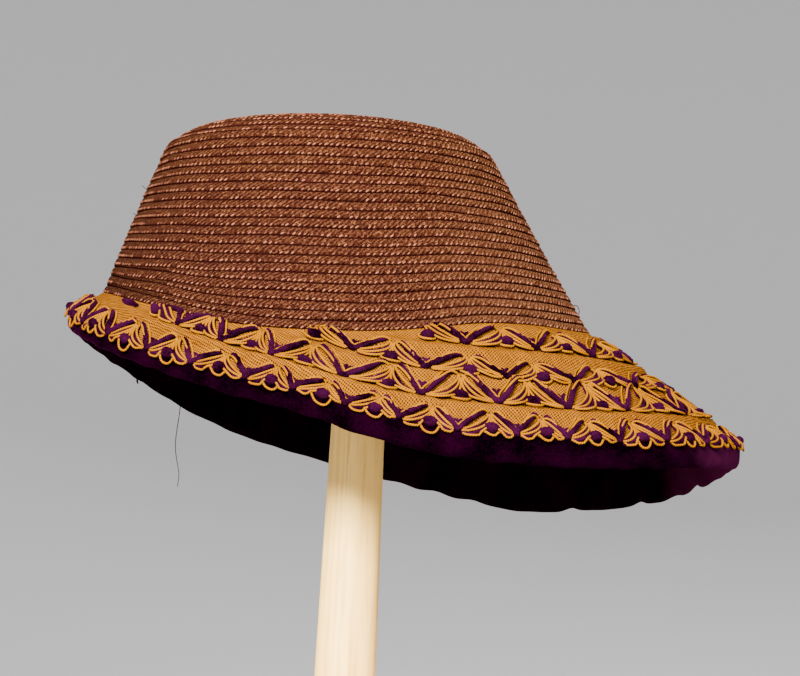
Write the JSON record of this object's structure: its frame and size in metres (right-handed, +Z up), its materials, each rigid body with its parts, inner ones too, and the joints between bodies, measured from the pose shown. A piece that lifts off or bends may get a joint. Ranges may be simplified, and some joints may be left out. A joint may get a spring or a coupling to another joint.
{
  "type": "bonnet on stand",
  "caption": "Tall-crowned straw bonnet with a sloping cloth-covered brim, gimp trims and a velvet lining, on a plain wooden stand.",
  "frame": {"origin": "centre of the underside of the stand's foot, on the pole's axis", "axes": "+X towards the front of the bonnet, +Z up"},
  "size_m": [0.3016, 0.2324, 0.2944],
  "materials": {
    "straw": "plaited straw, slightly glossy",
    "cloth": "coarse plain weave",
    "velvet": "dark pile",
    "gimp": "twisted cord and chenille",
    "wood": "smooth, pale"
  },
  "bodies": {
    "root": {"straw_crown": "straw", "brim_cover": "cloth", "velvet_facing": "velvet", "loop_trim_1": "gimp", "loop_trim_2": "gimp", "loop_trim_3": "gimp", "loop_trim_4": "gimp", "stand_pole": "wood", "stand_head": "wood", "stand_base": "wood"}
  },
  "joints": []
}
